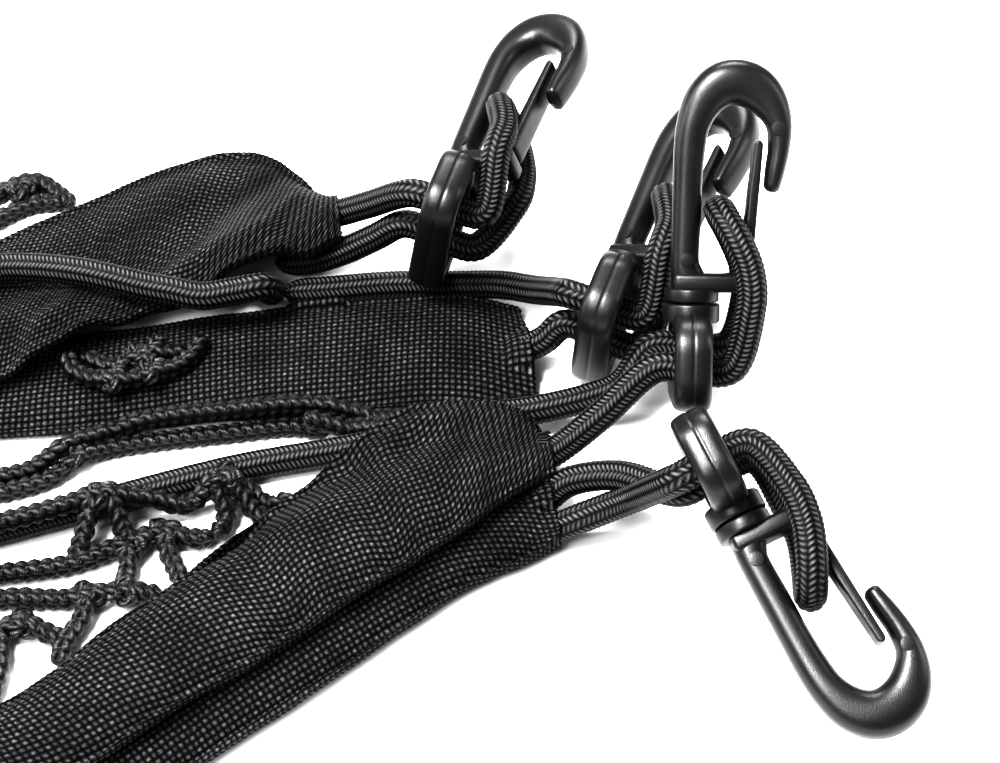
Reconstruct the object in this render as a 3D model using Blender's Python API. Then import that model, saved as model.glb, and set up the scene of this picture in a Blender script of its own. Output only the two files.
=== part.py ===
"""Cargo net of black cord, folded into a bundle: two woven border sleeves, knotted net between them,
and four plastic swivel snap hooks on loops of elastic bungee cord.
Millimetres in the tables; Blender units are metres. +Z up, the bundle lies on the surface at z = 0."""

import math

import bmesh
import bpy
from mathutils import Matrix, Vector
from mathutils.bvhtree import BVHTree

MM = 0.001
GAP = 0.3  # between pieces that touch
MERGE = 0.01  # points closer than this are one

# Driving dimensions, in millimetres.
BUNGEE = 5.4  # diameter of the elastic cord
NET_CORD = 3.4  # diameter of the net's cord
KNOT = 5.4  # across a knot of the net

HOOK = {
    "collar_radius": 5.0,
    "collar_top": 3.0,
    "base_top": 5.2,
    "base_left": -3.4,
    "base_right": 11.4,
    "thickness": 6.6,
}
RING = {
    "long": 30.0,  # across the hook's plane
    "short": 17.5,  # along the hook's axis
    "corner": 6.5,
    "band": 6.8,  # width of the band, along the hole's axis
    "wall": 3.9,  # thickness of the band in the ring's plane
    "top": -1.9,  # outer edge that faces the hook
    "boss_radius": 5.2,
}
GATE = {
    "hinge": (9.8, 6.9),  # the axis of its bend, in the hook's plane
    "tip": (11.5, 28.6),
    "root_radius": 1.25,
    "tip_radius": 0.85,
    "width": 5.4,
}


# ---------------------------------------------------------------- scene and materials

for old in list(bpy.data.objects):
    bpy.data.objects.remove(old, do_unlink=True)


def new_collection(name):
    collection = bpy.data.collections.new(name)
    bpy.context.scene.collection.children.link(collection)
    return collection


NET = new_collection("cargo_net")
CUTTERS = new_collection("cutters")

layout = bpy.data.objects.new("layout", None)
NET.objects.link(layout)


def material(name, grey, roughness):
    found = bpy.data.materials.new(name)
    found.use_nodes = True
    shader = found.node_tree.nodes["Principled BSDF"]
    shader.inputs["Base Color"].default_value = (grey, grey, grey * 1.05, 1.0)
    shader.inputs["Roughness"].default_value = roughness
    shader.inputs["Metallic"].default_value = 0.0
    return found


def finish(obj, name, grey, roughness, collection=NET):
    """Names an object, gives it its own material and puts it in its collection."""
    obj.name = name
    obj.data.materials.clear()
    obj.data.materials.append(material(name, grey, roughness))
    if obj.name not in collection.objects:
        collection.objects.link(obj)
    if collection is NET and obj.parent is None:
        obj.parent = layout
    return obj


# ---------------------------------------------------------------- shape helpers


def between(a, b, c, d, t):
    """A point of the smooth curve that runs from b to c."""
    return 0.5 * (
        2 * b
        + (c - a) * t
        + (2 * a - 5 * b + 4 * c - d) * t**2
        + (3 * b - a - 3 * c + d) * t**3
    )


def smooth_path(points, longest=11.0 * MM, turn=17.0):
    """Points read from a smooth curve through hand-placed points, closer where it bends."""
    ends = [2 * points[0] - points[1], *points, 2 * points[-1] - points[-2]]
    fine = []
    for k in range(1, len(ends) - 2):
        for j in range(12):
            fine.append(between(*ends[k - 1 : k + 3], j / 12))
    fine.append(points[-1].copy())
    found, walked, bent = [fine[0]], 0.0, 0.0
    for before, here, after in zip(fine, fine[1:], fine[2:]):
        walked += (here - before).length
        bent += math.degrees((here - before).angle(after - here, 0.0))
        if walked >= longest or bent >= turn:
            found.append(here)
            walked, bent = 0.0, 0.0
    if (fine[-1] - found[-1]).length < 0.3 * longest and len(found) > 2:
        found.pop()
    return [*found, fine[-1]]


def cord(name, points, diameter, resolution=2, collection=NET):
    """A round cord through points in metres, as a capped curve."""
    data = bpy.data.curves.new(name, "CURVE")
    data.dimensions = "3D"
    data.bevel_depth = diameter / 2
    data.bevel_resolution = resolution
    data.use_fill_caps = True
    spline = data.splines.new("POLY")
    spline.points.add(len(points) - 1)
    for target, p in zip(spline.points, points):
        target.co = (*p, 1.0)
    obj = bpy.data.objects.new(name, data)
    collection.objects.link(obj)
    return obj


def as_mesh(obj, collection):
    """The curve's evaluated shape as a closed mesh object; the curve is removed."""
    bpy.context.view_layer.update()
    evaluated = obj.evaluated_get(bpy.context.evaluated_depsgraph_get())
    mesh = bpy.data.meshes.new_from_object(evaluated)
    made = bpy.data.objects.new(obj.name + "_mesh", mesh)
    made.matrix_world = obj.matrix_world.copy()
    collection.objects.link(made)
    bpy.data.objects.remove(obj, do_unlink=True)
    shape = bmesh.new()
    shape.from_mesh(mesh)
    bmesh.ops.remove_doubles(shape, verts=shape.verts, dist=MERGE * MM)
    bmesh.ops.recalc_face_normals(shape, faces=shape.faces)
    shape.to_mesh(mesh)
    shape.free()
    return made


def loft(name, rings, closed=False):
    """A closed body through rings of points, with flat ends unless the rings go round."""
    shape = bmesh.new()
    rows = [[shape.verts.new(p) for p in ring] for ring in rings]
    pairs = list(zip(rows, rows[1:]))
    if closed:
        pairs.append((rows[-1], rows[0]))
    for a, b in pairs:
        for k in range(len(a)):
            after = (k + 1) % len(a)
            shape.faces.new((a[k], a[after], b[after], b[k]))
    if not closed:
        shape.faces.new(rows[0])
        shape.faces.new(rows[-1])
    bmesh.ops.recalc_face_normals(shape, faces=shape.faces)
    mesh = bpy.data.meshes.new(name)
    shape.to_mesh(mesh)
    shape.free()
    return bpy.data.objects.new(name, mesh)


def rounded(half_u, half_v, power, count):
    """Points round a squarish oval with half sizes u and v."""
    found = []
    for k in range(count):
        angle = 2 * math.pi * (k + 0.5) / count
        c, s = math.cos(angle), math.sin(angle)
        u = half_u * math.copysign(abs(c) ** (2 / power), c)
        v = half_v * math.copysign(abs(s) ** (2 / power), s)
        found.append((u, v))
    return found


def cylinder(name, radius, low, high, sides=20):
    """A cylinder round the local Y axis, from low to high."""
    shape = bmesh.new()
    bmesh.ops.create_cone(
        shape,
        cap_ends=True,
        segments=sides,
        radius1=radius,
        radius2=radius,
        depth=high - low,
    )
    turn = Matrix.Rotation(math.radians(90), 4, "X")
    bmesh.ops.transform(shape, matrix=turn, verts=shape.verts)
    place = Matrix.Translation((0, (low + high) / 2, 0))
    bmesh.ops.transform(shape, matrix=place, verts=shape.verts)
    bmesh.ops.recalc_face_normals(shape, faces=shape.faces)
    mesh = bpy.data.meshes.new(name)
    shape.to_mesh(mesh)
    shape.free()
    return bpy.data.objects.new(name, mesh)


def joined(obj, others):
    """One body from an object and others that overlap it; the inputs are removed."""
    operands = bpy.data.collections.new(obj.name + "_operands")
    CUTTERS.children.link(operands)
    for other in others:
        for holder in list(other.users_collection):
            holder.objects.unlink(other)
        operands.objects.link(other)
        other.hide_render = True
        other.display_type = "WIRE"
    if not obj.users_collection:
        CUTTERS.objects.link(obj)
    step = obj.modifiers.new("union", "BOOLEAN")
    step.operation = "UNION"
    step.operand_type = "COLLECTION"
    step.collection = operands
    bpy.context.view_layer.update()
    evaluated = obj.evaluated_get(bpy.context.evaluated_depsgraph_get())
    mesh = bpy.data.meshes.new_from_object(evaluated)
    name = obj.name
    for used in [obj, *others]:
        bpy.data.objects.remove(used, do_unlink=True)
    bpy.data.collections.remove(operands)
    shape = bmesh.new()
    shape.from_mesh(mesh)
    bmesh.ops.remove_doubles(shape, verts=shape.verts, dist=MERGE / 10 * MM)
    shape.to_mesh(mesh)
    shape.free()
    return bpy.data.objects.new(name, mesh)


# ---------------------------------------------------------------- snap hook, in its own frame
# Origin at the foot of the collar, +Y along the hook to its crown, +X from the spine to the nose.

HOOK_LINE = [
    # x, y, half width in the hook's plane, half thickness
    (-1.2, 3.6, 2.2, 3.0),
    (-1.2, 8.0, 2.2, 3.0),
    (-1.1, 15.0, 2.3, 3.1),
    (-1.0, 22.0, 2.4, 3.2),
    (-0.8, 28.0, 2.7, 3.4),
    (-0.2, 32.5, 3.1, 3.6),
    (1.6, 36.6, 3.7, 3.7),
    (4.4, 39.2, 4.1, 3.8),
    (7.7, 39.8, 4.2, 3.8),
    (11.0, 38.6, 4.0, 3.7),
    (13.6, 35.9, 3.3, 3.6),
    (15.2, 32.3, 2.4, 3.5),
    (15.3, 28.0, 2.0, 3.3),
    (14.7, 24.0, 1.8, 3.2),
    (14.2, 21.0, 1.5, 2.9),
]


def hook_body(name):
    """Spine, crown and nose as one loft, on a base bar and a round collar."""
    line = [Vector((x, y, 0)) * MM for x, y, _, _ in HOOK_LINE]
    rings = []
    for k, (_, _, half, thick) in enumerate(HOOK_LINE):
        before = line[max(k - 1, 0)]
        after = line[min(k + 1, len(line) - 1)]
        ahead = (after - before).normalized()
        side = Vector((ahead.y, -ahead.x, 0))
        oval = rounded(half * MM, thick * MM, 2.6, 10)
        rings.append([line[k] + side * u + Vector((0, 0, v)) for u, v in oval])
    body = loft(name, rings)
    height = HOOK["base_top"] - HOOK["collar_top"] + 0.4
    width = HOOK["base_right"] - HOOK["base_left"]
    shape = bmesh.new()
    bmesh.ops.create_cube(shape, size=1.0)
    size = Matrix.Diagonal((width * MM, height * MM, HOOK["thickness"] * MM, 1.0))
    bmesh.ops.transform(shape, matrix=size, verts=shape.verts)
    middle = (
        (HOOK["base_left"] + HOOK["base_right"]) / 2 * MM,
        (HOOK["base_top"] - height / 2) * MM,
        0,
    )
    bmesh.ops.transform(shape, matrix=Matrix.Translation(middle), verts=shape.verts)
    mesh = bpy.data.meshes.new(name + "_base")
    shape.to_mesh(mesh)
    shape.free()
    base = bpy.data.objects.new(name + "_base", mesh)
    collar = cylinder(
        name + "_collar",
        HOOK["collar_radius"] * MM,
        0.0,
        HOOK["collar_top"] * MM,
    )
    return joined(body, [base, collar])


def hook_gate(name):
    """The tongue that closes the hook, with its origin on the axis of its bend."""
    foot = Vector((0, 0))
    tip = Vector(GATE["tip"]) - Vector(GATE["hinge"])
    ahead = tip.normalized()
    side = Vector((-ahead.y, ahead.x))
    outline = []
    for centre, radius, start in ((foot, GATE["root_radius"], 1), (tip, GATE["tip_radius"], -1)):
        for k in range(7):
            angle = math.pi * k / 6
            across = side * math.cos(angle) * start
            along = -ahead * math.sin(angle) * start
            outline.append(centre + (across + along) * radius)
    half = GATE["width"] / 2
    rings = [[Vector((p.x, p.y, z)) * MM for p in outline] for z in (-half, half)]
    return loft(name, rings)


def ring_path(count_corner=4):
    """Middle line of the D ring in its own plane: (along the axis, across), going round."""
    half_long = (RING["long"] - RING["wall"]) / 2
    half_short = (RING["short"] - RING["wall"]) / 2
    corner = RING["corner"] - RING["wall"] / 2
    found = []
    for quarter, (sy, sz) in enumerate(((1, 1), (-1, 1), (-1, -1), (1, -1))):
        centre = Vector((sy * (half_short - corner), sz * (half_long - corner)))
        for k in range(count_corner):
            angle = -math.pi / 2 * (quarter + k / (count_corner - 1))
            found.append(centre + Vector((math.cos(angle), -math.sin(angle))) * corner)
    return found


def swivel_ring(name):
    """A D ring round the cord, with the boss that turns on the hook."""
    middle_y = RING["top"] - RING["short"] / 2
    path = ring_path()
    rings = []
    for k, p in enumerate(path):
        ahead = (path[(k + 1) % len(path)] - path[k - 1]).normalized()
        out = Vector((ahead.y, -ahead.x))
        section = rounded(RING["wall"] / 2, RING["band"] / 2, 3.2, 8)
        rings.append(
            [
                Vector((v, p.x + out.x * u + middle_y, p.y + out.y * u)) * MM
                for u, v in section
            ]
        )
    band = loft(name, rings, closed=True)
    boss = cylinder(
        name + "_boss",
        RING["boss_radius"] * MM,
        (RING["top"] - RING["wall"] / 2) * MM,
        -GAP * MM,
        16,
    )
    return joined(band, [boss])


# ---------------------------------------------------------------- the four hooks in place

HOOKS = {
    # foot of the collar in mm; heading of the hook's axis round Z; pitch above level; roll about
    # that axis; turn of the swivel ring about it; y in the ring of the cord's +Z and -Z strands;
    # how far beyond the hook's axis those strands bulge
    1: {
        "foot": (-8, 32.5, 22.6), "heading": 73, "pitch": 5, "roll": 20, "ring": 30,
        "cross": (-10.6, -10.6), "bulge": (11.2, 9.4),
    },
    2: {
        "foot": (23.4, 12, 17.6), "heading": 69, "pitch": 11, "roll": 24, "ring": 30,
        "cross": (-10.6, -11.4), "bulge": (11.8, 5.5),
    },
    3: {
        "foot": (35.0, -3.2, 26.8), "heading": 89, "pitch": 47, "roll": 1, "ring": 0,
        "cross": (-12.2, -9.2), "bulge": (10.4, 10.4),
    },
    4: {
        "foot": (41.4, -49, 21), "heading": -63, "pitch": -19, "roll": 166, "ring": 6,
        "cross": (-10.6, -10.6), "bulge": (9.4, 9.4),
    },
}


def hook_frame(number):
    """Matrix that takes the hook's own frame, in metres, to the layout."""
    pose = HOOKS[number]
    heading, pitch = math.radians(pose["heading"]), math.radians(pose["pitch"])
    axis = Vector(
        (
            math.cos(pitch) * math.cos(heading),
            math.cos(pitch) * math.sin(heading),
            math.sin(pitch),
        )
    )
    level = Vector((math.sin(heading), -math.cos(heading), 0))
    turned = Matrix.Rotation(math.radians(-pose["roll"]), 3, axis) @ level
    across = turned.cross(axis)
    frame = Matrix((turned, axis, across)).transposed().to_4x4()
    frame.translation = Vector(pose["foot"]) * MM
    return frame


for number, pose in HOOKS.items():
    frame = hook_frame(number)
    body = finish(hook_body(f"hook_{number}_body"), f"hook_{number}_body", 0.012, 0.35)
    body.matrix_basis = frame
    gate = finish(hook_gate(f"hook_{number}_gate"), f"hook_{number}_gate", 0.014, 0.4)
    hinge = Matrix.Translation(Vector((*GATE["hinge"], 0)) * MM)
    gate.matrix_basis = frame @ hinge
    ring = finish(swivel_ring(f"hook_{number}_ring"), f"hook_{number}_ring", 0.012, 0.35)
    ring.matrix_basis = frame @ Matrix.Rotation(math.radians(pose["ring"]), 4, "Y")


# ---------------------------------------------------------------- what lies below

LAID = []  # surfaces that later pieces lie on, as search trees in layout coordinates


def lay_on(obj):
    """Adds an object's evaluated surface to what later pieces lie on."""
    bpy.context.view_layer.update()
    evaluated = obj.evaluated_get(bpy.context.evaluated_depsgraph_get())
    mesh = evaluated.to_mesh()
    points = [obj.matrix_world @ v.co for v in mesh.vertices]
    faces = [tuple(p.vertices) for p in mesh.polygons]
    LAID.append(BVHTree.FromPolygons(points, faces))
    evaluated.to_mesh_clear()


def height(x, y):
    """The top of what is laid so far at a place in metres, or the surface."""
    found = 0.0
    for tree in LAID:
        hit = tree.ray_cast(Vector((x, y, 0.2)), Vector((0, 0, -1)))[0]
        if hit is not None:
            found = max(found, hit.z)
    return found


def room_for(x, y, radius):
    """The lowest middle height of a ball that clears what lies below by the gap."""
    reach = radius + GAP * MM
    found = radius
    for share in (0.0, 0.45, 0.8, 0.98):
        for k in range(8 if share else 1):
            angle = 2 * math.pi * k / 8
            top = height(x + reach * share * math.cos(angle), y + reach * share * math.sin(angle))
            if top > 0.0:
                found = max(found, top + reach * math.sqrt(1 - share**2))
    return found


def drape(points, radius, slope=0.9):
    """Lays a smooth path of (x, y) on what is below, no steeper than the slope."""
    heights = [room_for(p.x, p.y, radius) for p in points]
    steps = [(q - p).length for p, q in zip(points, points[1:])]
    for k in range(1, len(points)):
        heights[k] = max(heights[k], heights[k - 1] - slope * steps[k - 1])
    for k in range(len(points) - 2, -1, -1):
        heights[k] = max(heights[k], heights[k + 1] - slope * steps[k])
    return [Vector((p.x, p.y, h)) for p, h in zip(points, heights)]


# ---------------------------------------------------------------- sleeves

FAR_LOWER = [
    # front edge x, y; back edge x, y; thickness, from the mouth to the fold
    (7, -5, 4, 17, 4.6),
    (-9, -8, -9, 20, 4.8),
    (-30, -9, -30, 18, 4.8),
    (-50, -11, -52, 15, 4.8),
    (-70, -13, -72, 11, 4.8),
    (-94, -15, -94, 8, 4.8),
    (-120, -17, -120, 6, 4.8),
    (-150, -17, -150, 6, 4.8),
    (-185, -15, -185, 8, 4.8),
    (-210, -14, -210, 9, 4.6),
]
FAR_UPPER = [
    (-31, 26, -33, 39, 6.0),
    (-38, 23, -37, 46, 7.4),
    (-46, 20, -43, 53, 8.0),
    (-56, 14, -50, 58, 8.0),
    (-66, 12, -60, 58, 7.6),
    (-76, 6, -70, 54, 7.0),
    (-86, -1, -80, 48, 6.6),
    (-96, -7, -91, 41, 6.4),
    (-116, -14, -113, 27, 6.0),
    (-145, -16, -143, 14, 6.0),
    (-180, -15, -180, 9, 5.2),
    (-210, -14, -210, 9, 4.6),
]
NEAR_LOWER = [
    (11, -41, 9, -31, 6.4),
    (4, -45, -3, -31, 7.4),
    (-8, -52, -20, -35, 7.6),
    (-25, -66, -39, -48, 7.6),
    (-45, -82, -60, -64, 7.4),
    (-62, -95, -77, -77, 6.8),
    (-90, -109, -98, -88, 6.0),
    (-125, -116, -126, -92, 6.0),
    (-165, -110, -160, -87, 5.6),
    (-198, -96, -189, -74, 5.0),
]
NEAR_UPPER = [
    (10, -30, 9, -22, 6.4),
    (3, -35, 0, -16, 7.4),
    (-6, -43, -15, -15, 7.6),
    (-16, -51, -28, -25, 7.6),
    (-29, -61, -42, -38, 7.4),
    (-43, -72, -57, -53, 7.0),
    (-57, -82, -71, -66, 6.8),
    (-71, -93, -84, -79, 6.4),
    (-95, -103, -102, -85, 6.0),
    (-125, -110, -127, -88, 6.0),
    (-164, -106, -160, -84, 5.6),
    (-198, -96, -189, -74, 5.0),
]
ACROSS = 9  # points from edge to edge
LEG_STEP = 9.0  # between sections along a sleeve
EDGE_GAP = 0.45
ALONG_SLOPE = 0.4  # steepest drape along a leg
FLAT_SHARE = 0.75  # of the half width that lies flat


def spread_rows(rows, step):
    """Sections at even spacing, read from smooth curves through the table's columns."""
    front = [Vector((r[0], r[1], r[4])) for r in rows]
    back = [Vector((r[2], r[3], 0)) for r in rows]
    middle = [(f.xy + b.xy).to_3d() / 2 for f, b in zip(front, back)]
    length = sum((q - p).length for p, q in zip(middle, middle[1:]))
    count = round(length / step)
    spans = len(rows) - 1
    found = []
    for j in range(count + 1):
        at = spans * j / count
        k = min(int(at), spans - 1)
        pair = []
        for line in (front, back):
            near = [line[max(k - 1, 0)], line[k], line[k + 1], line[min(k + 2, spans)]]
            pair.append(between(*near, at - k))
        found.append((pair[0].xy * MM, pair[1].xy * MM, pair[0].z * MM))
    return found


def eased(heights, limit):
    """Raises heights in a row so that none is more than the limit below its neighbour."""
    for k in range(1, len(heights)):
        heights[k] = max(heights[k], heights[k - 1] - limit)
    for k in range(len(heights) - 2, -1, -1):
        heights[k] = max(heights[k], heights[k + 1] - limit)
    return heights


def across_share(k):
    """Share of the width at a point across a leg, closer together near its edges."""
    return (1 - math.cos(math.pi * k / (ACROSS - 1))) / 2


def leg_beds(spread):
    """How high each point across each section has to lie, eased across and along the leg."""
    beds = []
    for front, back, _ in spread:
        row = []
        for k in range(ACROSS):
            p = front.lerp(back, across_share(k))
            bed = 0.0
            for j in range(24):
                reach = (2, 4, 6)[j % 3] * MM
                angle = 2 * math.pi * (j // 3) / 8
                bed = max(bed, height(p.x + reach * math.cos(angle), p.y + reach * math.sin(angle)))
            if bed > 0:
                bed += EDGE_GAP * MM
            row.append(bed)
        beds.append(eased(row, 0.75 * (back - front).length / (ACROSS - 1)))
    for k in range(ACROSS):
        column = eased([row[k] for row in beds], ALONG_SLOPE * LEG_STEP * MM)
        for row, value in zip(beds, column):
            row[k] = value
    return beds


def leg_sections(rows, lies_on_others, flipped):
    """Rings of one leg of a sleeve, laid on the surface or draped on what is below."""
    spread = spread_rows(rows, LEG_STEP)
    beds = leg_beds(spread) if lies_on_others else [[0.0] * ACROSS for _ in spread]
    found = []
    for (front, back, thick), bed in zip(spread, beds):
        low, high = [], []
        for k in range(ACROSS):
            p = front.lerp(back, across_share(k))
            across = abs(2 * across_share(k) - 1)
            puff = math.sqrt(max(0.0, 1 - across**3.2))
            lift = 0.28 * thick * (1 - puff) if across > FLAT_SHARE else 0.0
            low.append(Vector((p.x, p.y, bed[k] + lift)))
            if 0 < k < ACROSS - 1:
                high.append(Vector((p.x, p.y, bed[k] + lift + (thick - lift) * puff)))
            else:
                low[-1].z = bed[k] + 0.3 * thick
                high.append(Vector((p.x, p.y, bed[k] + 0.62 * thick)))
        ring = low + high[::-1]
        if flipped:
            ring = high + low[::-1]
        found.append(ring)
    return found


def fold_sections(lower, upper):
    """Rings round the fold that joins the far ends of two legs."""
    found = []
    low_middle = sum(lower, Vector()) / len(lower)
    high_middle = sum(upper, Vector()) / len(upper)
    pivot = (low_middle + high_middle) / 2
    axis = (lower[ACROSS - 1] - lower[0]).to_2d().to_3d().normalized()
    outward = Vector((0, 0, 1)).cross(axis).normalized()
    if outward.x > 0:
        outward = -outward
    for k in range(1, 4):
        angle = math.pi * k / 4
        ring = []
        for p, q in zip(lower, upper):
            flat = p.lerp(q, k / 4)
            drop = p.z - pivot.z
            rise = q.z - pivot.z
            radius = abs(drop) * (1 - k / 4) + abs(rise) * (k / 4)
            place = Vector((flat.x, flat.y, pivot.z))
            place += outward * radius * math.sin(angle)
            place.z -= radius * math.cos(angle)
            place.z = max(place.z, 0.0)
            ring.append(place)
        found.append(ring)
    return found


def temporary(name, rings):
    """A leg as a body of its own, for later pieces to lie on."""
    obj = loft(name, rings)
    CUTTERS.objects.link(obj)
    lay_on(obj)
    bpy.data.objects.remove(obj, do_unlink=True)


far_lower = leg_sections(FAR_LOWER, False, False)
near_lower = leg_sections(NEAR_LOWER, False, False)
temporary("far_lower", far_lower)
temporary("near_lower", near_lower)


# ---------------------------------------------------------------- elastic cords

HITCH = [
    # share of the bulge, y, z in the hook's frame, from the ring past the collar into the eye
    (1.0, -0.6, 7.3),
    (0.93, 6.0, 7.3),
    (0.52, 11.6, 6.6),
    (0.14, 15.4, 4.2),
    (0.0, 16.8, 0.0),
]
EYE_X = 4.9  # where the bight lies across the eye
CROSSING = ((-7.0, 5.0, 0.0), (0.0, 5.2, 0.0), (7.6, 5.6, 0.8))  # x, z, rise in the ring's frame
LOOPS = {
    # the cord's way to the ring on the hook's +Z side, and from it on the -Z side
    1: {"to": [(-28.8, 32, 12), (-23, 31, 16)], "back": [(-21, 25.5, 11), (-29, 27.2, 6.8), (-36, 28, 3.4), (-45, 28.6, 3)]},
    2: {
        "to": [(-43, 20.4, 3), (-34, 21.2, 3), (-22, 22.5, 3), (-10, 23.3, 3), (0, 22, 6), (8, 17, 12)],
        "back": [(9.6, 3.8, 6)],
    },
    3: {
        "to": [(12.4, -23, 10), (19, -20, 15)],
        "back": [
            (23, -9.5, 11),
            (17, -10.5, 8),
            (7, -11.5, 5.5),
            (-3, -11.5, 3.4),
            (-13, -14, 3),
            (-26, -18.5, 3),
            (-50, -24, 3),
            (-77, -33, 3),
            (-100, -41, 3),
            (-130, -52, 3),
            (-168, -60, 3),
            (-204, -59, 3),
        ],
    },
    4: {"to": [(13.1, -31, 9), (22, -33, 13)], "back": [(24, -37, 12), (13.5, -38, 7)]},
}
SIDE_TAIL = [(-52, 19.5, 6), (-48, 19, 6.8), (-44.8, 16.4, 7.9)]  # tucked under the upper leg
SIDE_CORD = [(-46, 13), (-50, 12), (-57, 10.5), (-67, 12.5), (-77, 15), (-87, 18), (-98, 20), (-120, 14),
             (-160, 3), (-204, -2)]
LOW_CORD = 6.5  # cord lower than this may have the net or an upper leg over it
SPARE = 1.6  # added to the diameter that those clear


def hitch(number):
    """Layout points of the cord from the ring into the eye, then back out through the ring."""
    frame = hook_frame(number)
    turned = frame @ Matrix.Rotation(math.radians(HOOKS[number]["ring"]), 4, "Y")
    ways = []
    for side, cross, bulge in zip((1, -1), HOOKS[number]["cross"], HOOKS[number]["bulge"]):
        way = [turned @ (Vector((x, cross + rise, side * z)) * MM) for x, z, rise in CROSSING]
        for share, y, z in HITCH:
            x = EYE_X + share * (bulge - EYE_X)
            way.append(frame @ (Vector((x, y, side * z)) * MM))
        ways.append(way)
    return ways[0] + ways[1][-2::-1]


def lay_guide(path):
    """Lays a slightly thicker copy of a stretch of cord, then removes it."""
    guide = cord("guide", path, (BUNGEE + SPARE) * MM, 2, CUTTERS)
    lay_on(guide)
    bpy.data.objects.remove(guide, do_unlink=True)


for number, ways in LOOPS.items():
    to = [Vector(p) * MM for p in ways["to"]]
    back = [Vector(p) * MM for p in ways["back"]]
    path = smooth_path([*to, *hitch(number), *back])
    loop = cord(f"bungee_loop_{number}", path, BUNGEE * MM)
    finish(loop, f"bungee_loop_{number}", 0.012, 0.6)
    middle = len(path) // 2
    for half in (path[:middle], path[middle:]):
        low = [p for p in half if p.z < LOW_CORD * MM]
        if len(low) > 1:
            lay_guide(low)

tail = [Vector(p) * MM for p in SIDE_TAIL]
lay_guide(tail)


# ---------------------------------------------------------------- net

NET_FRONT = {
    "edge": [(-112, -33), (-92, -28), (-84, -25), (-79, -21), (-74, -18), (-65, -16), (-51, -14),
             (-40, -12.5), (-33, -13.5)],
    "link": [(-79, -18), (-79, -22)],
    "under_cord": [(-112, -46), (-91, -40), (-82, -37), (-74, -34), (-67, -33), (-57, -32), (-51, -28)],
    "triangle_left": [(-73, -34), (-75, -39), (-77, -44)],
    "triangle_right": [(-71, -34), (-69, -37), (-67, -41)],
    "long": [(-112, -50), (-90, -47), (-78, -45), (-71, -42), (-64, -39), (-61, -38), (-57, -39), (-52, -39)],
    "hang_one": [(-61, -38), (-60, -42), (-58, -46), (-57, -49)],
    "short": [(-67, -41), (-67, -51)],
    "second": [(-114, -56), (-88, -52), (-82, -52), (-75, -52), (-67, -51), (-60, -51)],
    "hang_two": [(-73, -52), (-74, -57), (-76, -61), (-77, -66)],
    "third": [(-112, -68), (-90, -60), (-84, -58), (-76, -61)],
    "left": [(-88, -59), (-87, -66), (-88, -74)],
    "lump_one": [(-52, -29), (-46, -29), (-42, -31), (-38, -29)],
    "lump_two": [(-51, -28), (-47, -31), (-43, -34), (-40, -34)],
    "lump_three": [(-52, -30), (-50, -34), (-52, -39)],
}
NET_MIDDLE = {
    "arc": [(-83, 2), (-81, -3), (-73, -6), (-65, -4), (-60, 0), (-57, 6)],
    "inner": [(-80, 1), (-74, -2), (-68, 0), (-60, 2)],
    "cross_one": [(-73, -6), (-72, -2), (-70, 3)],
    "cross_two": [(-66, -4), (-67, 0), (-65, 5)],
}
NET_BACK = {
    "loop": [(-120, 40), (-108, 46), (-101, 52), (-96, 53), (-91, 49), (-88, 46)],
    "bar": [(-112, 34), (-104, 41), (-97, 46), (-90, 47)],
}
NET_LEFT = {
    "edge": [(-204, -30), (-180, -33), (-150, -31), (-130, -31), (-110, -33)],
    "long_one": [(-204, -46), (-180, -49), (-150, -45), (-128, -44), (-110, -46)],
    "long_two": [(-202, -66), (-180, -69), (-150, -64), (-130, -59), (-110, -50)],
    "cross_one": [(-196, -31), (-188, -48), (-178, -69)],
    "cross_two": [(-172, -32), (-164, -47), (-155, -65)],
    "cross_three": [(-145, -31), (-137, -44), (-130, -59)],
    "cross_four": [(-116, -32), (-112, -46), (-112, -68)],
}
RISE = 0.17  # from one strand's height to the next where they cross
KNOTS_FRONT = [(-79, -20), (-72, -34), (-61, -38), (-73, -52), (-67, -41), (-84, -58), (-50, -29), (-67, -51)]
KNOTS_MIDDLE = [(-73, -6), (-66, -4), (-68, 0)]
KNOTS_BACK = [(-99, 49)]


def ball(name, centre, radius):
    """A knot, as a low ball."""
    shape = bmesh.new()
    bmesh.ops.create_icosphere(shape, subdivisions=2, radius=radius)
    bmesh.ops.transform(shape, matrix=Matrix.Translation(centre), verts=shape.verts)
    mesh = bpy.data.meshes.new(name)
    shape.to_mesh(mesh)
    shape.free()
    return bpy.data.objects.new(name, mesh)


def net(name, tables, knots):
    """Strands draped on what is below, fused where they cross and at their knots."""
    parts = []
    for table in tables:
        for key, places in table.items():
            flat = [Vector((x, y, 0)) * MM for x, y in places]
            draped = drape(smooth_path(flat, 2.5 * MM), NET_CORD / 2 * MM)
            rise = Vector((0, 0, len(parts) % 6 * RISE * MM))
            path = smooth_path([p + rise for p in draped], 7.0 * MM, 22.0)
            strand = cord(f"{name}_{key}", path, NET_CORD * MM, 1, CUTTERS)
            parts.append(as_mesh(strand, CUTTERS))
    for k, (x, y) in enumerate(knots):
        middle = room_for(x * MM, y * MM, KNOT / 2 * MM)
        parts.append(ball(f"{name}_knot_{k}", Vector((x * MM, y * MM, middle)), KNOT / 2 * MM))
    made = joined(parts[0], parts[1:])
    finish(made, name, 0.01, 0.8)
    lay_on(made)


net("net_front", [NET_FRONT, NET_LEFT], KNOTS_FRONT)
net("net_middle", [NET_MIDDLE], KNOTS_MIDDLE)


# ---------------------------------------------------------------- upper legs and what lies on them


def sleeve(name, lower, upper):
    """One folded sleeve: out along the lower leg, round the fold and back along the upper."""
    rings = lower + fold_sections(lower[-1], upper[-1]) + upper[::-1]
    finish(loft(name, rings), name, 0.01, 0.85)


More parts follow.
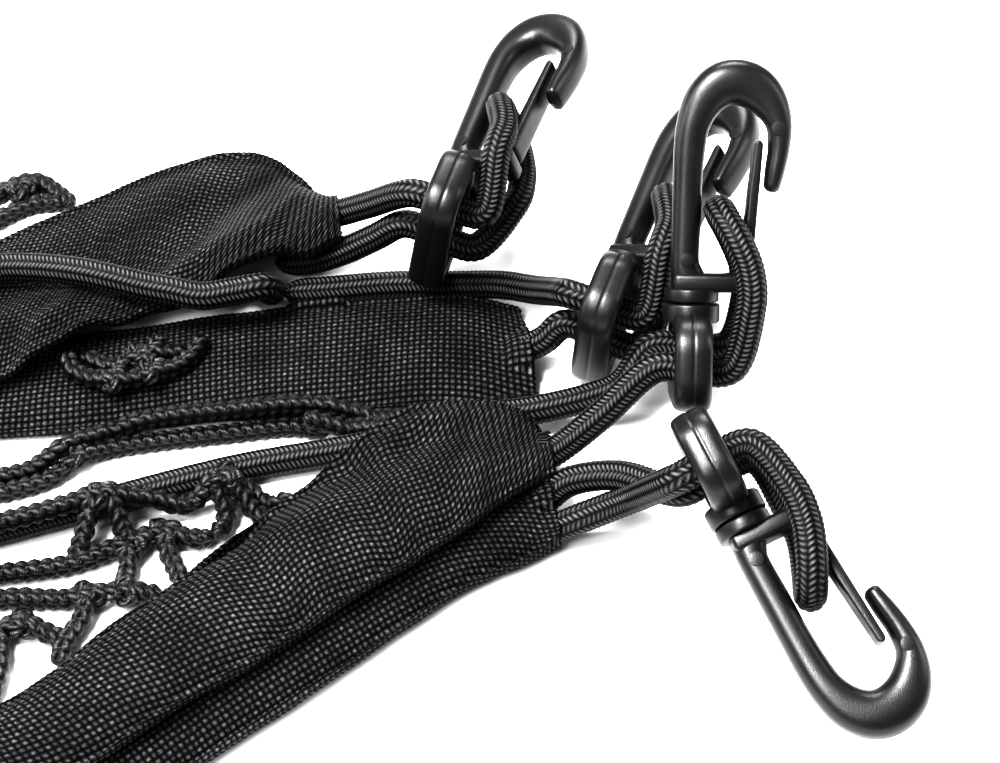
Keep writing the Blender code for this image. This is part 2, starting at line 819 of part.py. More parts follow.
sleeve("sleeve_far", far_lower, leg_sections(FAR_UPPER, True, True))
sleeve("sleeve_near", near_lower, leg_sections(NEAR_UPPER, True, True))
lay_on(bpy.data.objects["sleeve_far"])

flat = smooth_path([Vector((x, y, 0)) * MM for x, y in SIDE_CORD], 6.0 * MM)
top = drape(flat, (BUNGEE / 2 + 4 * GAP) * MM, 0.45)
side = cord("bungee_side", smooth_path([*tail, *top], 7.0 * MM), BUNGEE * MM)
finish(side, "bungee_side", 0.012, 0.6)
net("net_back", [NET_BACK], KNOTS_BACK)


# ---------------------------------------------------------------- the part's origin


def bottom_centre():
    """Middle of the box of every piece but the elastic cords, at its foot."""
    bpy.context.view_layer.update()
    low, high = Vector((9, 9, 9)), Vector((-9, -9, -9))
    for obj in NET.objects:
        if obj.type != "MESH":
            continue
        for vertex in obj.data.vertices:
            place = obj.matrix_world @ vertex.co
            low = Vector(map(min, low, place))
            high = Vector(map(max, high, place))
    return Vector(((low.x + high.x) / 2, (low.y + high.y) / 2, low.z))


layout.location = -bottom_centre()
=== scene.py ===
"""Cargo net of black cord, folded into a bundle, with four swivel snap hooks on elastic loops.
Tables are in millimetres, in the layout's own frame; the meshes are in metres."""

import math

import bmesh
import bpy
import numpy as np
from mathutils import Matrix, Vector, kdtree, noise
from mathutils.bvhtree import BVHTree


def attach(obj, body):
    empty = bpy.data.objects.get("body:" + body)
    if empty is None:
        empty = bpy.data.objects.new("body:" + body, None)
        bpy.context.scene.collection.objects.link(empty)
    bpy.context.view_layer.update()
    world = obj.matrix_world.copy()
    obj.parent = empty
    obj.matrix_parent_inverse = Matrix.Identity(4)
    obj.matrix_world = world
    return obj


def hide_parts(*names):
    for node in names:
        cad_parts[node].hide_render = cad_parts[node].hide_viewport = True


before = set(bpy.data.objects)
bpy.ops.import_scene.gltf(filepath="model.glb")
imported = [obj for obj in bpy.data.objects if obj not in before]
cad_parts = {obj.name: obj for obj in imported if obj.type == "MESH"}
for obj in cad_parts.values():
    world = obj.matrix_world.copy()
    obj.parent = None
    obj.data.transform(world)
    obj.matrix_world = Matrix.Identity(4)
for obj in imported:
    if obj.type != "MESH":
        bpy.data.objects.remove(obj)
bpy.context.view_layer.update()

# ---------------------------------------------------------------- camera, table and lights
# A product table: a white sheet that runs on behind the net, a broad lamp overhead, smaller ones
# on all four sides for the long gleams on the hooks, and a white room all round.

MM = 0.001
SHIFT = Vector((71.2788, 21.6664, 0.0)) * MM  # from the layout's origin to the part's

camera_data = bpy.data.cameras.new("camera")
camera_data.lens = 80.0
camera_data.sensor_width = 36.0
camera_data.sensor_fit = "HORIZONTAL"
camera_data.clip_start = 0.01
camera = bpy.data.objects.new("camera", camera_data)
bpy.context.scene.collection.objects.link(camera)
tilt = math.radians(50)
distance = 430 * MM
camera.location = SHIFT + Vector((0, -math.cos(tilt), math.sin(tilt))) * distance
camera.rotation_euler = (math.pi / 2 - tilt, 0, 0)
bpy.context.scene.camera = camera


def mesh_object(name, shape):
    """An object from a bmesh, with its normals outward and its points and faces in an order that
    is the same each time; the bmesh is freed."""
    bmesh.ops.recalc_face_normals(shape, faces=shape.faces)
    places = sorted(shape.verts, key=lambda v: tuple(v.co))
    number = {v: k for k, v in enumerate(places)}
    faces = []
    for face in shape.faces:
        corners = [number[v] for v in face.verts]
        first = corners.index(min(corners))
        faces.append(corners[first:] + corners[:first])
    mesh = bpy.data.meshes.new(name)
    mesh.from_pydata([tuple(v.co) for v in places], [], sorted(faces))
    shape.free()
    mesh.shade_smooth()
    obj = bpy.data.objects.new(name, mesh)
    bpy.context.scene.collection.objects.link(obj)
    return obj


def calc(tree, kind, *values, clamp=False):
    """A Math node fed by sockets or numbers; gives its output socket."""
    node = tree.nodes.new("ShaderNodeMath")
    node.operation = kind
    node.use_clamp = clamp
    for k, value in enumerate(values):
        if isinstance(value, bpy.types.NodeSocket):
            tree.links.new(value, node.inputs[k])
        else:
            node.inputs[k].default_value = value
    return node.outputs[0]


def between_colours(tree, share, dark, light):
    """A colour between two, by a share from 0 to 1."""
    node = tree.nodes.new("ShaderNodeMix")
    node.data_type = "RGBA"
    tree.links.new(share, node.inputs["Factor"])
    node.inputs["A"].default_value = (*dark, 1.0)
    node.inputs["B"].default_value = (*light, 1.0)
    return node.outputs["Result"]


def speckle(tree, vector, scale, detail=2.0):
    """A soft random value from 0 to 1 at each place."""
    node = tree.nodes.new("ShaderNodeTexNoise")
    node.inputs["Scale"].default_value = scale
    node.inputs["Detail"].default_value = detail
    tree.links.new(vector, node.inputs["Vector"])
    return node.outputs["Fac"]


def mapped(tree):
    """The map of a piece, in metres."""
    node = tree.nodes.new("ShaderNodeUVMap")
    node.uv_map = "map"
    return node.outputs["UV"]


def own_relief(tree):
    """The relief that a cord keeps at its points, from 0 to 1."""
    node = tree.nodes.new("ShaderNodeAttribute")
    node.attribute_name = "relief"
    return node.outputs["Fac"]


def effect(name):
    """An empty node group with a finish's three outputs; gives the group and its output node."""
    group = bpy.data.node_groups.new(name, "ShaderNodeTree")
    for title, kind in (("Colour", "Color"), ("Roughness", "Float"), ("Height", "Float")):
        group.interface.new_socket(name=title, in_out="OUTPUT", socket_type=f"NodeSocket{kind}")
    return group, group.nodes.new("NodeGroupOutput")


def finish_from(name, group, bump_depth, bump_strength, **constants):
    """A Principled material whose colour, roughness and bump come from a node group."""
    made = bpy.data.materials.new(name)
    made.use_nodes = True
    tree = made.node_tree
    shader = tree.nodes["Principled BSDF"]
    for title, value in constants.items():
        shader.inputs[title.replace("_", " ")].default_value = value
    source = tree.nodes.new("ShaderNodeGroup")
    source.node_tree = group
    tree.links.new(source.outputs["Colour"], shader.inputs["Base Color"])
    tree.links.new(source.outputs["Roughness"], shader.inputs["Roughness"])
    bump = tree.nodes.new("ShaderNodeBump")
    bump.inputs["Distance"].default_value = bump_depth
    bump.inputs["Strength"].default_value = bump_strength
    tree.links.new(source.outputs["Height"], bump.inputs["Height"])
    tree.links.new(bump.outputs["Normal"], shader.inputs["Normal"])
    return made


PAINTED_SHADE_BETWEEN_YARNS = (0.0003, 0.0003, 0.0004)  # painted shade where yarns meet, standing in for the shadow in the gaps

paper, out = effect("white paper")
place = paper.nodes.new("ShaderNodeTexCoord").outputs["Object"]
fibre = speckle(paper, place, 40.0)
paper.links.new(between_colours(paper, fibre, (0.86, 0.86, 0.865), (0.9, 0.9, 0.9)), out.inputs[0])
paper.links.new(calc(paper, "MULTIPLY_ADD", fibre, 0.1, 0.8), out.inputs[1])
paper.links.new(fibre, out.inputs[2])

shape = bmesh.new()
bmesh.ops.create_grid(shape, x_segments=2, y_segments=2, size=3.0)
bmesh.ops.transform(shape, matrix=Matrix.Translation((0, 0, -0.2 * MM)), verts=shape.verts)
table = mesh_object("table_sheet", shape)
table.data.materials.append(finish_from("white_paper", paper, 0.0001, 0.2))


def lamp(name, size, power, place):
    """A soft rectangular lamp at a place, turned to the net."""
    data = bpy.data.lights.new(name, "AREA")
    data.shape = "RECTANGLE"
    data.size, data.size_y = size
    data.energy = power
    obj = bpy.data.objects.new(name, data)
    bpy.context.scene.collection.objects.link(obj)
    obj.location = place
    obj.rotation_euler = (SHIFT - Vector(place)).to_track_quat("-Z", "Y").to_euler()
    return obj


overhead = lamp("overhead_lamp", (0.42, 0.3), 29.0, (-0.28, -0.08, 0.9))
behind = lamp("behind_lamp", (0.5, 0.2), 9.0, (0.1, 0.8, 0.7))
front = lamp("front_lamp", (0.3, 0.22), 5.5, (-0.3, -0.5, 0.72))
left = lamp("left_lamp", (0.12, 0.5), 3.0, (-0.55, 0.05, 0.32))
right = lamp("right_lamp", (0.12, 0.5), 2.4, (0.65, 0.05, 0.36))

world = bpy.data.worlds.new("white_room")
bpy.context.scene.world = world
world.use_nodes = True
sky = world.node_tree.nodes["Background"]
sky.inputs["Color"].default_value = (1.0, 1.0, 1.0, 1.0)
sky.inputs["Strength"].default_value = 0.42
bpy.context.scene.view_settings.view_transform = "Standard"
bpy.context.scene.view_settings.exposure = 0.5
bpy.context.scene.view_settings.gamma = 0.55


# ---------------------------------------------------------------- elastic loops
# Rubber strands in a braided polyester sheath, 5.4 mm across. Each loop comes out of a sleeve,
# goes up through a swivel ring, round the hook's collar with its bight in the eye, and back.

BUNGEE = 5.4
BEYOND_VIEW = -120 * MM + SHIFT.x  # x below which nothing shows to the camera
BRAID_STEP = 0.9  # from one dash of the braid to the next
BRAID_COLUMNS = 10
BRAID_RELIEF = 0.3
BRAID_ROWS = (0.24, 0.45)  # between rings of points, in view and beyond it
END_TAPER = 5.0  # over which the ends of the elastic are drawn in

HOOKS = {
    # foot of the collar; heading of the axis; pitch above level; roll about the axis; turn of
    # the swivel ring; where the two strands cross the ring, and how far they bulge beside it
    1: {
        "foot": (-8, 32.5, 22.6), "heading": 73, "pitch": 5, "roll": 20, "ring": 30,
        "cross": (-10.6, -10.6), "bulge": (11.2, 9.4),
    },
    2: {
        "foot": (23.4, 12, 17.6), "heading": 69, "pitch": 11, "roll": 24, "ring": 30,
        "cross": (-10.6, -11.4), "bulge": (11.8, 5.5),
    },
    3: {
        "foot": (35.0, -3.2, 26.8), "heading": 89, "pitch": 47, "roll": 1, "ring": 0,
        "cross": (-12.2, -9.2), "bulge": (10.4, 10.4),
    },
    4: {
        "foot": (41.4, -49, 21), "heading": -63, "pitch": -19, "roll": 166, "ring": 6,
        "cross": (-10.6, -10.6), "bulge": (9.4, 9.4),
    },
}
HITCH = [
    # share of the bulge, y, z in the hook's frame, from the ring past the collar into the eye
    (1.0, -0.6, 7.3),
    (0.93, 6.0, 7.3),
    (0.52, 11.6, 6.6),
    (0.14, 15.4, 4.2),
    (0.0, 16.8, 0.0),
]
EYE_X = 4.7  # how far the bight lies from the axis of the collar
CROSSING = ((-7.0, 5.0, 0.0), (0.0, 5.2, 0.0), (7.6, 5.6, 0.8))  # x, z, rise in the ring's frame
LOOPS = {
    # the cord's way to the ring on the hook's +Z side, and from it on the -Z side
    1: {
        "to": [(-37, 33.5, 11.3), (-31, 32, 14.2), (-25, 29, 19.5)],
        "back": [(-24.5, 26, 13.2), (-31.5, 27.2, 7.6), (-38, 28.2, 4), (-45, 28.6, 3)],
    },
    2: {
        "to": [
            (-43, 20.4, 3), (-34, 21.2, 3), (-22, 22.5, 3), (-10, 22.6, 3), (0, 20.3, 5.5),
            (7, 15.2, 9.6), (11.2, 9.6, 15.2),
        ],
        "back": [(8.6, 4.2, 7.6), (4.8, 4.2, 5), (1, 4.2, 4)],
    },
    3: {
        "to": [(4, -26.8, 9.0), (8, -25.4, 8.8), (12.4, -23, 10), (19, -20, 15)],
        "back": [
            (23, -9.5, 11), (17, -10.5, 8), (7, -11.5, 5.5), (-3, -11.5, 3.4), (-13, -14, 3),
            (-26, -18.5, 3), (-50, -24, 3), (-77, -33, 3), (-100, -41, 3), (-130, -52, 3),
            (-168, -60, 3), (-204, -59, 3),
        ],
    },
    4: {
        "to": [(4, -34.4, 4.4), (8, -33, 6.0), (13.1, -31, 9), (22, -33, 13)],
        "back": [(24, -37, 12), (14, -38, 6.6), (9.5, -38.4, 4.2), (4, -39.5, 3.4)],
    },
}


def hook_frame(number):
    """Matrix that takes a hook's own frame, in metres, to its place."""
    pose = HOOKS[number]
    heading, pitch = math.radians(pose["heading"]), math.radians(pose["pitch"])
    flat = math.cos(pitch)
    axis = Vector((flat * math.cos(heading), flat * math.sin(heading), math.sin(pitch)))
    level = Vector((math.sin(heading), -math.cos(heading), 0))
    turned = Matrix.Rotation(math.radians(-pose["roll"]), 3, axis) @ level
    across = turned.cross(axis)
    found = Matrix((turned, axis, across)).transposed().to_4x4()
    found.translation = Vector(pose["foot"]) * MM + SHIFT
    return found


def hitch(number):
    """Points of the cord from the ring into the eye, then back out through the ring."""
    place = hook_frame(number)
    turned = place @ Matrix.Rotation(math.radians(HOOKS[number]["ring"]), 4, "Y")
    ways = []
    for side, cross, bulge in zip((1, -1), HOOKS[number]["cross"], HOOKS[number]["bulge"]):
        way = [turned @ (Vector((x, cross + rise, side * z)) * MM) for x, z, rise in CROSSING]
        for share, y, z in HITCH:
            x = EYE_X + share * (bulge - EYE_X)
            way.append(place @ (Vector((x, y, side * z)) * MM))
        ways.append(way)
    return ways[0] + ways[1][-2::-1]


def between(a, b, c, d, t):
    """A point of the smooth curve that runs from b to c."""
    bend = (2 * a - 5 * b + 4 * c - d) * t**2 + (3 * b - a - 3 * c + d) * t**3
    return 0.5 * (2 * b + (c - a) * t + bend)


def all_between(ends, parts):
    """Points of the smooth curves between a row of places, all but its first and last ones."""
    found = []
    for k in range(1, len(ends) - 2):
        for j in range(parts):
            found.append(between(*ends[k - 1 : k + 3], j / parts))
    return found


def smooth(points, parts=20):
    """Many points of a smooth curve through given points, as an array."""
    ends = [2 * points[0] - points[1], *points, 2 * points[-1] - points[-2]]
    return np.array([*all_between(ends, parts), points[-1]])


def walked_along(line):
    """How far along the line each of its points lies."""
    return np.concatenate([[0.0], np.cumsum(np.linalg.norm(np.diff(line, axis=0), axis=1))])


def even(line, step, hidden_step):
    """The same line with points at even steps, longer ones beyond the camera's view."""
    gaps = np.diff(walked_along(line))
    steps = np.where(line[1:, 0] < BEYOND_VIEW, hidden_step, step) * MM
    walked = np.concatenate([[0.0], np.cumsum(gaps / steps)])
    at = np.linspace(0.0, walked[-1], math.ceil(walked[-1]) + 1)
    return np.stack([np.interp(at, walked, line[:, k]) for k in range(3)], axis=1)


def carried(line):
    """Two directions square to the line at each point, that turn as little as they can."""
    ahead = np.gradient(line, axis=0)
    ahead /= np.linalg.norm(ahead, axis=1)[:, None]
    side = np.zeros_like(line)
    side[0] = np.cross(ahead[0], (0.13, 0.21, 0.97))
    for k in range(len(line)):
        found = side[max(k - 1, 0)] - ahead[k] * np.dot(side[max(k - 1, 0)], ahead[k])
        side[k] = found / np.linalg.norm(found)
    return side, np.cross(ahead, side)


def skin(name, grid, along, across, relief):
    """A closed mesh over a grid of rows that go round, with a map in metres and its relief kept."""
    rows, count = grid.shape[:2]
    index = np.arange(rows * count).reshape(rows, count)
    after = np.roll(index, -1, axis=1)
    faces = np.stack([index[:-1], after[:-1], after[1:], index[1:]], axis=-1).reshape(-1, 4)
    mesh = bpy.data.meshes.new(name)
    ends = [index[0][::-1].tolist(), index[-1].tolist()]
    mesh.from_pydata(grid.reshape(-1, 3).tolist(), [], faces.tolist() + ends)
    pairs = np.stack([along, across], axis=-1)
    corners = np.stack([pairs[:-1, :-1], pairs[:-1, 1:], pairs[1:, 1:], pairs[1:, :-1]], axis=2)
    flat = np.zeros((len(mesh.loops), 2))
    flat[: len(faces) * 4] = corners.reshape(-1, 2)
    flat[len(faces) * 4 :] = pairs[0, 0]
    layer = mesh.uv_layers.new(name="map")
    layer.data.foreach_set("uv", flat.ravel())
    kept = mesh.attributes.new("relief", "FLOAT", "POINT")
    kept.data.foreach_set("value", relief.ravel())
    shape = bmesh.new()
    shape.from_mesh(mesh)
    bmesh.ops.recalc_face_normals(shape, faces=shape.faces)
    shape.to_mesh(mesh)
    shape.free()
    mesh.shade_smooth()
    obj = bpy.data.objects.new(name, mesh)
    bpy.context.scene.collection.objects.link(obj)
    return obj


def narrowing(walked, reach):
    """Share of its full radius that a cord has along its way, drawn in at its ends."""
    from_end = np.minimum(walked, walked[-1] - walked) / reach
    return np.sqrt(np.clip(1 - (1 - np.clip(from_end, 0, 1)) ** 2, 0.05, 1))


def tube(name, line, radius, count, relief_of, depth, reach=2.0 * MM):
    """A round cord along a line, raised by a relief from 0 to 1 of where along and round it is."""
    walked = walked_along(line)
    turn = np.arange(count + 1) * 2 * math.pi / count
    s, a = np.meshgrid(walked, turn, indexing="ij")
    relief = relief_of(s, a)
    out = (radius + (relief - 0.6) * depth) * narrowing(walked, reach)[:, None]
    side, up = carried(line)
    ring = np.cos(a)[..., None] * side[:, None] + np.sin(a)[..., None] * up[:, None]
    grid = line[:, None] + out[..., None] * ring
    return skin(name, grid[:, :-1], s, a * radius, relief[:, :-1])


def slanting(s, a, columns, step, slant, power, low):
    """Relief of yarns in columns, slanting one way and the other in turn round the cord; low is
    the share of their height that they keep at a column's edges."""
    column = a / (2 * math.pi) * columns
    inside = column % 1.0
    way = np.where(np.floor(column) % 2 == 0, 1.0, -1.0)
    phase = s / (step * MM) + way * slant * (inside - 0.5)
    yarn = np.abs(np.cos(math.pi * phase)) ** power
    return yarn * (low + (1 - low) * np.sin(math.pi * inside) ** 0.6)


def herringbone(s, a):
    """Dashes of the elastic's braid."""
    return slanting(s, a, BRAID_COLUMNS, BRAID_STEP, 0.9, 0.9, 0.3)


braid, out = effect("braided yarn")
raised = own_relief(braid)
strands = speckle(braid, mapped(braid), 5200.0)
# The braid's dashes are painted lighter by their relief, a painted highlight on their tops, and
# painted shade darkens the gaps between them.
lit = calc(braid, "POWER", raised, 3.2)
share = calc(braid, "MULTIPLY", lit, calc(braid, "MULTIPLY_ADD", strands, 1.1, 0.4), clamp=True)
tint = between_colours(braid, share, PAINTED_SHADE_BETWEEN_YARNS, (0.13, 0.13, 0.132))
braid.links.new(tint, out.inputs[0])
braid.links.new(calc(braid, "MULTIPLY_ADD", strands, 0.3, 0.32), out.inputs[1])
braid.links.new(calc(braid, "MULTIPLY_ADD", strands, 0.35, raised), out.inputs[2])
elastic = finish_from("elastic_sheath", braid, 0.00012, 0.7, Specular_IOR_Level=0.2)


cord_ends = []  # where the elastic runs near its ends, for the sleeves to make room


def elastic_cord(name, node, places):
    """One elastic cord along its smooth path."""
    line = even(smooth(places), *BRAID_ROWS)
    radius, reach = BUNGEE / 2 * MM, END_TAPER * MM
    obj = tube(name, line, radius, 5 * BRAID_COLUMNS, herringbone, BRAID_RELIEF * MM, reach)
    walked = walked_along(line)
    tops = line[:, 2] + radius * narrowing(walked, reach) + 0.5 * MM
    for k in np.flatnonzero(np.minimum(walked, walked[-1] - walked) < 2 * reach):
        cord_ends.append((line[k, 0], line[k, 1], tops[k]))
    obj.data.materials.append(elastic)
    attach(obj, "net")
    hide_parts(node)
    return obj


def placed(points):
    """Layout points in millimetres as places in metres."""
    return [Vector(p) * MM + SHIFT for p in points]


for number, ways in LOOPS.items():
    places = [*placed(ways["to"]), *hitch(number), *placed(ways["back"])]
    elastic_cord(f"elastic_loop_{number}", f"bungee_loop_{number}", places)


# ---------------------------------------------------------------- side elastic
# A length of the same elastic that comes out from under the far sleeve's upper leg, bends back
# and lies along the top of that leg.

SIDE_TAIL = [(-52, 19.5, 6), (-48, 19, 6.8), (-44.8, 16.4, 7.9)]
SIDE_CORD = [
    (-46, 13), (-50, 12), (-57, 10.5), (-67, 12.5), (-77, 15), (-87, 18), (-98, 20), (-120, 14),
    (-160, 3), (-204, -2),
]


search_trees = {}


def top_of(node, x, y):
    """The height of a solid's top at a place, or None beside it."""
    if node not in search_trees:
        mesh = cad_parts[node].data
        faces = [tuple(p.vertices) for p in mesh.polygons]
        search_trees[node] = BVHTree.FromPolygons([v.co for v in mesh.vertices], faces)
    where = search_trees[node].ray_cast(Vector((x, y, 0.2)), Vector((0, 0, -1)))[0]
    return where.z if where else None


def laid_on_top(node, points, radius, step=2.0):
    """A smooth path whose middle heights are read from the top of the solid it stands for."""
    flat = even(smooth([Vector((x, y, 0)) * MM + SHIFT for x, y in points]), step, step)
    heights = []
    for x, y, _ in flat:
        tops = [top_of(node, x + dx * MM, y + dy * MM) for dx, dy in ((0, 0), (0, 0.7), (0, -0.7))]
        tops = [t for t in tops if t is not None]
        heights.append(max(tops) - radius if tops else np.nan)
    heights = np.array(heights)
    good = ~np.isnan(heights)
    heights = np.interp(np.arange(len(flat)), np.flatnonzero(good), heights[good])
    padded = np.concatenate([[heights[0]], heights, [heights[-1]]])
    flat[:, 2] = (padded[:-2] + padded[1:-1] + padded[2:]) / 3
    return [Vector(p) for p in flat]


top = laid_on_top("bungee_side", SIDE_CORD, BUNGEE / 2 * MM, 6.0)
in_mouths = len(cord_ends)
elastic_cord("side_elastic", "bungee_side", [*placed(SIDE_TAIL), *top])
del cord_ends[in_mouths:]  # this one doesn't run into a mouth


# ---------------------------------------------------------------- net
# Polyester cord knitted as a chain, 3.4 mm across, tied where strands meet. It lies under and
# over the sleeves as it fell when the net was folded.

NET_CORD = 3.4
STITCH = 2.3  # from one stitch of the chain to the next
STITCH_RELIEF = 0.75
STITCH_ROWS = (0.3, 0.6)  # between rings of points, in view and beyond it
STRAND_SIDES = 24
# a knot's half width, the radius, relief and sides of its cord, how far its middle lies under
# the solid's top, and the least height of that middle
KNOT = {"size": 2.3, "radius": 1.15, "relief": 0.5, "sides": 20, "sunk": 2.6, "lowest": 2.0}

NET_FRONT = {
    "edge": [(-112, -33), (-92, -28), (-84, -25), (-79, -21), (-74, -18), (-65, -16), (-51, -14),
             (-40, -12.5), (-33, -13.5)],
    "link": [(-79, -18), (-79, -22)],
    "under_cord": [(-112, -46), (-91, -40), (-82, -37), (-74, -34), (-67, -33), (-57, -32),
                   (-51, -28)],
    "triangle_left": [(-73, -34), (-75, -39), (-77, -44)],
    "triangle_right": [(-71, -34), (-69, -37), (-67, -41)],
    "long": [(-112, -50), (-90, -47), (-78, -45), (-71, -42), (-64, -39), (-61, -38), (-57, -39),
             (-52, -39)],
    "hang_one": [(-61, -38), (-60, -42), (-58, -46), (-57, -49)],
    "short": [(-67, -41), (-67, -51)],
    "second": [(-114, -56), (-88, -52), (-82, -52), (-75, -52), (-67, -51), (-60, -51)],
    "hang_two": [(-73, -52), (-74, -57), (-76, -61), (-77, -66)],
    "third": [(-112, -68), (-90, -60), (-84, -58), (-76, -61)],
    "left": [(-88, -59), (-87, -66), (-88, -74)],
    "lump_one": [(-52, -29), (-46, -29), (-42, -31), (-38, -29)],
    "lump_two": [(-51, -28), (-47, -31), (-43, -34), (-40, -34)],
    "lump_three": [(-52, -30), (-50, -34), (-52, -39)],
}
NET_LEFT = {
    "edge": [(-204, -30), (-180, -33), (-150, -31), (-130, -31), (-110, -33)],
    "long_one": [(-204, -46), (-180, -49), (-150, -45), (-128, -44), (-110, -46)],
    "long_two": [(-202, -66), (-180, -69), (-150, -64), (-130, -59), (-110, -50)],
    "cross_one": [(-196, -31), (-188, -48), (-178, -69)],
    "cross_two": [(-172, -32), (-164, -47), (-155, -65)],
    "cross_three": [(-145, -31), (-137, -44), (-130, -59)],
    "cross_four": [(-116, -32), (-112, -46), (-112, -68)],
}
NET_MIDDLE = {
    "arc": [(-83, 2), (-81, -3), (-73, -6), (-65, -4), (-60, 0), (-57, 6)],
    "inner": [(-80, 1), (-74, -2), (-68, 0), (-60, 2)],
    "cross_one": [(-73, -6), (-72, -2), (-70, 3)],
    "cross_two": [(-66, -4), (-67, 0), (-65, 5)],
}
NET_BACK = {
    "loop": [(-120, 40), (-108, 46), (-101, 52), (-96, 53), (-91, 49), (-88, 46)],
    "bar": [(-112, 34), (-104, 41), (-97, 46), (-90, 47)],
}
EDGE_BESIDE = [
    (-112, -29.5), (-92, -24.5), (-84, -21.5), (-78, -17.5), (-73, -14.6), (-65, -12.6),
    (-51, -10.8), (-40, -9.4), (-31, -9.6), (-24, -10.8), (-19, -13), (-14.5, -17),
]
EDGE_END = [(-37, -12.7), (-31, -13.2), (-25.5, -14.2), (-20.5, -17), (-16, -20)]
KNOTS_FRONT = [
    (-79, -20), (-72, -34), (-61, -38), (-73, -52), (-67, -41), (-84, -58), (-50, -29), (-67, -51),
]
KNOTS_MIDDLE = [(-73, -6), (-66, -4), (-68, 0)]
KNOTS_BACK = [(-99, 49)]


def laid_over(nodes, points, radius):
    """A smooth path that lies on whichever of some solids is highest along it."""
    flat = even(smooth([Vector((x, y, 0)) * MM + SHIFT for x, y in points]), 2.0, 2.0)
    heights = []
    for x, y, _ in flat:
        found = [radius]
        for node in nodes:
            for dx, dy in ((0, 0), (0, 1.1), (0, -1.1), (1.1, 0), (-1.1, 0)):
                top = top_of(node, x + dx * MM, y + dy * MM)
                if top is not None:
                    found.append(top + radius * (1.0 if dx == dy else 0.75))
        heights.append(max(found))
    padded = np.concatenate([[heights[0]] * 2, heights, [heights[-1]] * 2])
    flat[:, 2] = np.convolve(padded, np.ones(5) / 5, "valid")
    return [Vector(p) for p in flat]


def chain(s, a):
    """Fat stitches of a knitted chain, in four columns."""
    return slanting(s, a, 4, STITCH, 0.75, 0.8, 0.25)


def knot_line(place, size, turn):
    """The way the cord takes through a small tight knot."""
    found = []
    for k in range(48):
        t = 2 * math.pi * k / 47 * 0.985
        x = math.sin(t) + 2 * math.sin(2 * t)
        y = math.cos(t) - 2 * math.cos(2 * t)
        z = -math.sin(3 * t)
        flat = Matrix.Rotation(turn, 3, "Z") @ Vector((x, y, z * 0.8))
        found.append(place + flat * size / 3)
    return found


def filaments(tree, place, lengthwise, crosswise):
    """Fine light and dark streaks of a yarn, from 0 to 1; the scales are per metre."""
    stretch = tree.nodes.new("ShaderNodeMapping")
    stretch.inputs["Scale"].default_value = (lengthwise, crosswise, 1.0)
    tree.links.new(place, stretch.inputs["Vector"])
    return calc(tree, "MULTIPLY_ADD", speckle(tree, stretch.outputs[0], 1.0), 2.6, -0.8, clamp=True)


knit, out = effect("knitted yarn")
raised = own_relief(knit)
threads = filaments(knit, mapped(knit), 5200.0, 900.0)
# The stitches are painted lighter by their relief, a painted highlight on their tops broken up by
# the filament streaks, with painted shade between them.
share = calc(knit, "MULTIPLY_ADD", threads, 1.2, 0.15)
lit = calc(knit, "MULTIPLY", calc(knit, "POWER", raised, 2.0), share, clamp=True)
tint = between_colours(knit, lit, PAINTED_SHADE_BETWEEN_YARNS, (0.035, 0.035, 0.036))
knit.links.new(tint, out.inputs[0])
knit.links.new(calc(knit, "MULTIPLY_ADD", threads, 0.2, 0.3), out.inputs[1])
knit.links.new(calc(knit, "MULTIPLY_ADD", threads, 0.45, raised), out.inputs[2])
net_yarn = finish_from("net_yarn", knit, 0.00025, 0.9, Specular_IOR_Level=0.5)


def gathered_pieces(name, pieces):
    """One mesh object from several closed ones, which are removed."""
    shape = bmesh.new()
    for piece in pieces:
        shape.from_mesh(piece.data)
    mesh = bpy.data.meshes.new(name)
    shape.to_mesh(mesh)
    shape.free()
    for piece in pieces:
        bpy.data.objects.remove(piece, do_unlink=True)
    mesh.shade_smooth()
    obj = bpy.data.objects.new(name, mesh)
    bpy.context.scene.collection.objects.link(obj)
    return obj


def strand(name, path):
    """One strand of the net along a path."""
    line = even(smooth(path, 6), *STITCH_ROWS)
    return tube(name, line, NET_CORD / 2 * MM, STRAND_SIDES, chain, STITCH_RELIEF * MM)


def net(name, node, tables, knots, beside=()):
    """Strands and knots of one part of the net, at the heights of the solid it stands for."""
    radius = NET_CORD / 2 * MM
    made = []
    for number, points in enumerate(beside):
        path = laid_over(["sleeve_far", "net_front", "bungee_loop_3"], points, radius)
        made.append(strand(f"{name}_beside_{number}", path))
    for table in tables:
        for key, points in table.items():
            made.append(strand(f"{name}_{key}", laid_on_top(node, points, radius)))
    for number, (x, y) in enumerate(knots):
        middle = Vector((x, y, 0)) * MM + SHIFT
        middle.z = max(top_of(node, middle.x, middle.y) - KNOT["sunk"] * MM, KNOT["lowest"] * MM)
        line = even(np.array(knot_line(middle, KNOT["size"] * MM, number * 1.9)), *STITCH_ROWS)
        thickness, relief = KNOT["radius"] * MM, KNOT["relief"] * MM
        made.append(tube(f"{name}_knot_{number}", line, thickness, KNOT["sides"], chain, relief))
    obj = gathered_pieces(name, made)
    obj.data.materials.append(net_yarn)
    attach(obj, "net")
    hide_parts(node)
    return obj


net("front_net", "net_front", [NET_FRONT, NET_LEFT], KNOTS_FRONT, [EDGE_BESIDE, EDGE_END])
net("middle_net", "net_middle", [NET_MIDDLE], KNOTS_MIDDLE)
net("back_net", "net_back", [NET_BACK], KNOTS_BACK)


# ---------------------------------------------------------------- border sleeves
# Coarse plain-woven polyester webbing sewn to a flat tube and pulled over the net's edge. Each
# one is folded back on itself, and its two mouths are cut with a hot knife, which leaves them
# uneven.

